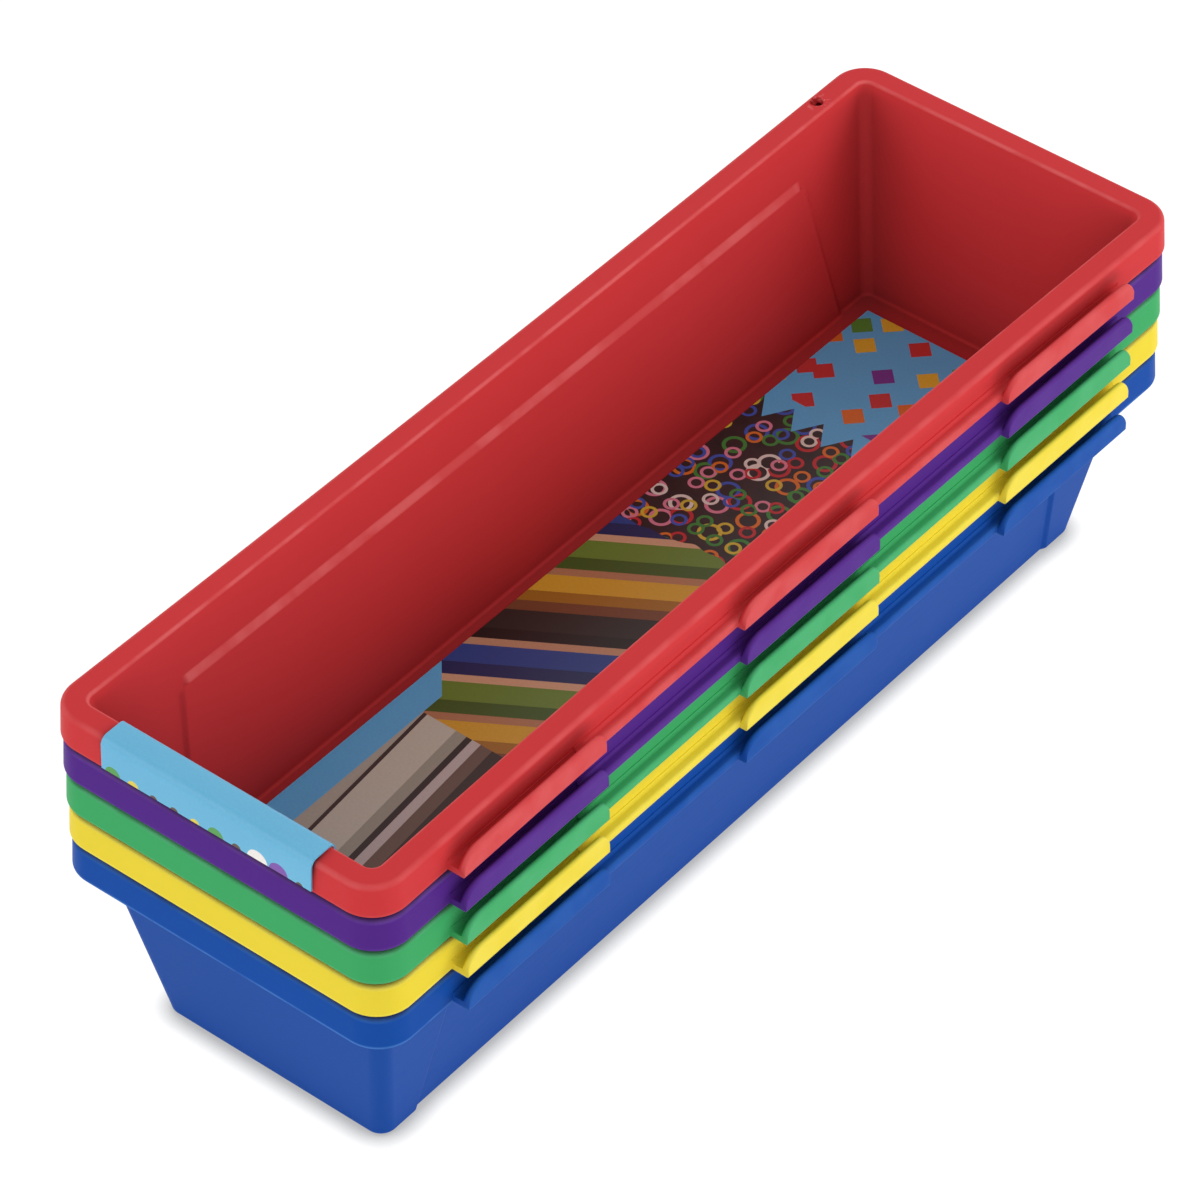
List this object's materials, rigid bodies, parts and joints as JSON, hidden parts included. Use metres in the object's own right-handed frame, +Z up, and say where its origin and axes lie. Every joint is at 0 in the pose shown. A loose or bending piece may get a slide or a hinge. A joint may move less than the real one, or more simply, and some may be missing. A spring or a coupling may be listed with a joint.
{
  "type": "organizer tray",
  "caption": "Nested set of long, narrow desk trays with a hooked rim along one side and a printed card laid in the top tray and folded over its rim.",
  "frame": {"origin": "centre of the lowest tray's underside", "axes": "+X across the trays towards the hooked side, +Y along the trays away from the end where the card folds over the rim, +Z up"},
  "size_m": [0.09, 0.2615, 0.0881],
  "materials": {
    "blue_plastic": "satin",
    "yellow_plastic": "satin",
    "green_plastic": "satin",
    "purple_plastic": "satin",
    "red_plastic": "satin",
    "printed_card": "satin coated"
  },
  "bodies": {
    "blue_tray": {"blue_tray": "blue_plastic"},
    "yellow_tray": {"yellow_tray": "yellow_plastic"},
    "green_tray": {"green_tray": "green_plastic"},
    "purple_tray": {"purple_tray": "purple_plastic"},
    "red_tray": {"red_tray": "red_plastic"},
    "card_insert": {"card_insert": "printed_card"}
  },
  "joints": [
    {"name": "yellow_lift", "type": "slide", "parent": "blue_tray", "child": "yellow_tray", "axis": [0, 0, 1], "range_m": [0, 0.06]},
    {"name": "green_lift", "type": "slide", "parent": "yellow_tray", "child": "green_tray", "axis": [0, 0, 1], "range_m": [0, 0.06]},
    {"name": "purple_lift", "type": "slide", "parent": "green_tray", "child": "purple_tray", "axis": [0, 0, 1], "range_m": [0, 0.06]},
    {"name": "red_lift", "type": "slide", "parent": "purple_tray", "child": "red_tray", "axis": [0, 0, 1], "range_m": [0, 0.06]},
    {"name": "card_lift", "type": "slide", "parent": "red_tray", "child": "card_insert", "axis": [0, 0, 1], "range_m": [0, 0.06]}
  ]
}
